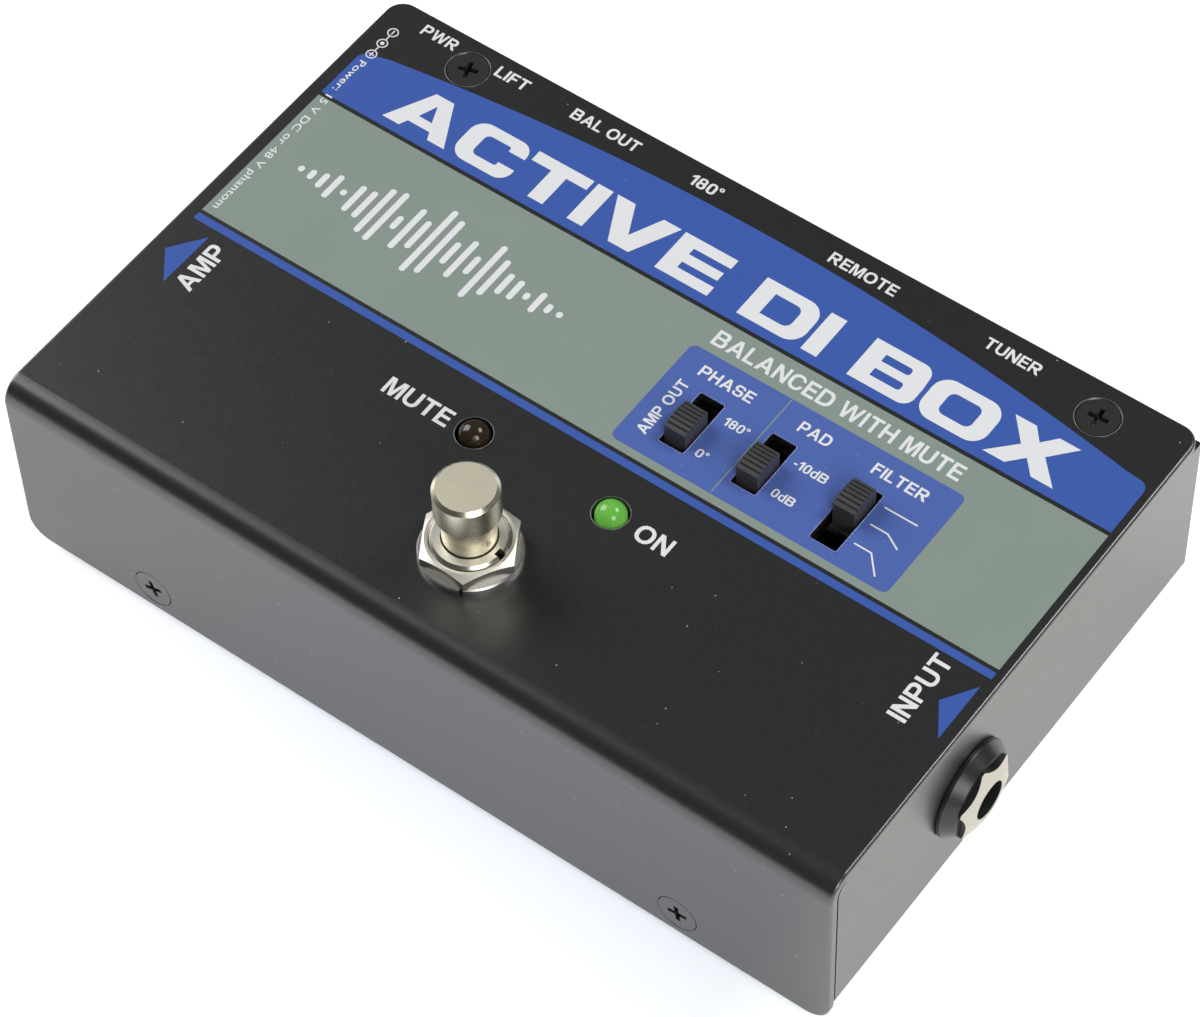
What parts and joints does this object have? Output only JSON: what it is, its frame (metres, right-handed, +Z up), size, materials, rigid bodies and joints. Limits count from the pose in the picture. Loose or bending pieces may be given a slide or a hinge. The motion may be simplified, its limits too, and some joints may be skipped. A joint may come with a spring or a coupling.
{
  "type": "direct injection box",
  "caption": "Foot-operated audio direct injection box: bent steel case with a footswitch, slide switches, indicator lamps, plug sockets and a balanced output.",
  "frame": {"origin": "on the floor, at the centre of the underside of the bottom pad, midway between the ends of the case and between its front and rear faces", "axes": "+X along the length towards the input socket, +Y towards the rear face with the output connectors, +Z up"},
  "size_m": [0.1602, 0.1016, 0.0543],
  "materials": {
    "satin_black_paint": "satin black powder coat",
    "black_steel": "black oxide, slightly glossy",
    "zinc_steel": "zinc plated",
    "bright_chrome": "bright nickel or chrome plating",
    "spring_steel": "drawn wire",
    "tinned_metal": "tin plated",
    "brass": "turned, bright",
    "pad_rubber": "matt",
    "board_laminate": "green solder mask, satin",
    "black_plastic": "satin moulded",
    "white_plastic": "natural nylon",
    "phenolic_board": "brown phenolic",
    "smoked_lens": "dark translucent, gloss",
    "green_lens": "translucent green, lit, gloss",
    "capacitor_sleeve": "shrink sleeve",
    "film_capacitor_resin": "dipped resin",
    "relay_plastic": "moulded",
    "resistor_lacquer": "lacquered"
  },
  "bodies": {
    "enclosure": {"amp_jack_body": "black_plastic", "amp_jack_face": "bright_chrome", "amp_jack_nut": "black_plastic", "amplifier_chips": "black_plastic", "base_pan": "satin_black_paint", "board_header": "black_plastic", "board_screws": "zinc_steel", "board_spacers": "brass", "board_standoffs": "zinc_steel", "bottom_pad": "pad_rubber", "clinch_nuts": "zinc_steel", "cover": "satin_black_paint", "cover_screws": "black_steel", "electrolytic_capacitors": "capacitor_sleeve", "film_capacitors": "film_capacitor_resin", "filter_switch_frame": "zinc_steel", "footswitch_bushing": "bright_chrome", "footswitch_housing": "black_plastic", "footswitch_lock_washer": "zinc_steel", "footswitch_nuts": "bright_chrome", "footswitch_spring": "spring_steel", "footswitch_terminals": "tinned_metal", "header_pins": "tinned_metal", "input_jack_body": "black_plastic", "input_jack_face": "bright_chrome", "input_jack_nut": "black_plastic", "jack_contacts": "tinned_metal", "lamp_legs": "tinned_metal", "lamp_mute": "smoked_lens", "lamp_on": "green_lens", "lamp_spacers": "white_plastic", "lift_switch_frame": "zinc_steel", "main_board": "board_laminate", "mute_relay": "relay_plastic", "output_insert": "black_plastic", "output_pins": "tinned_metal", "output_screws": "black_steel", "output_shell": "black_plastic", "pad_switch_frame": "zinc_steel", "phase_switch_frame": "zinc_steel", "polarity_switch_frame": "zinc_steel", "power_inlet_body": "black_plastic", "power_inlet_pin": "tinned_metal", "remote_jack_body": "black_plastic", "remote_jack_face": "bright_chrome", "remote_jack_nut": "black_plastic", "resistors": "resistor_lacquer", "slide_switch_bases": "phenolic_board", "slide_switch_pins": "tinned_metal", "switch_board": "board_laminate", "tuner_jack_body": "black_plastic", "tuner_jack_face": "bright_chrome", "tuner_jack_nut": "black_plastic"},
    "footswitch_plunger_body": {"footswitch_button": "bright_chrome", "footswitch_plunger": "white_plastic"},
    "phase_knob": {"phase_switch_knob": "black_plastic"},
    "pad_knob": {"pad_switch_knob": "black_plastic"},
    "filter_knob": {"filter_switch_knob": "black_plastic"},
    "lift_knob": {"lift_switch_knob": "black_plastic"},
    "polarity_knob": {"polarity_switch_knob": "black_plastic"}
  },
  "joints": [
    {"name": "footswitch_press", "type": "slide", "parent": "enclosure", "child": "footswitch_plunger_body", "axis": [0, 0, -1], "range_m": [0, 0.003], "stiffness_N_per_m": 2000, "springref_m": -0.004, "deforming": ["footswitch_spring"]},
    {"name": "phase_slide", "type": "slide", "parent": "enclosure", "child": "phase_knob", "axis": [0, 1, 0], "range_m": [0, 0.003]},
    {"name": "pad_slide", "type": "slide", "parent": "enclosure", "child": "pad_knob", "axis": [0, 1, 0], "range_m": [0, 0.003]},
    {"name": "filter_slide", "type": "slide", "parent": "enclosure", "child": "filter_knob", "axis": [0, -1, 0], "range_m": [0, 0.004]},
    {"name": "lift_slide", "type": "slide", "parent": "enclosure", "child": "lift_knob", "axis": [1, 0, 0], "range_m": [0, 0.003]},
    {"name": "polarity_slide", "type": "slide", "parent": "enclosure", "child": "polarity_knob", "axis": [1, 0, 0], "range_m": [0, 0.003]}
  ]
}
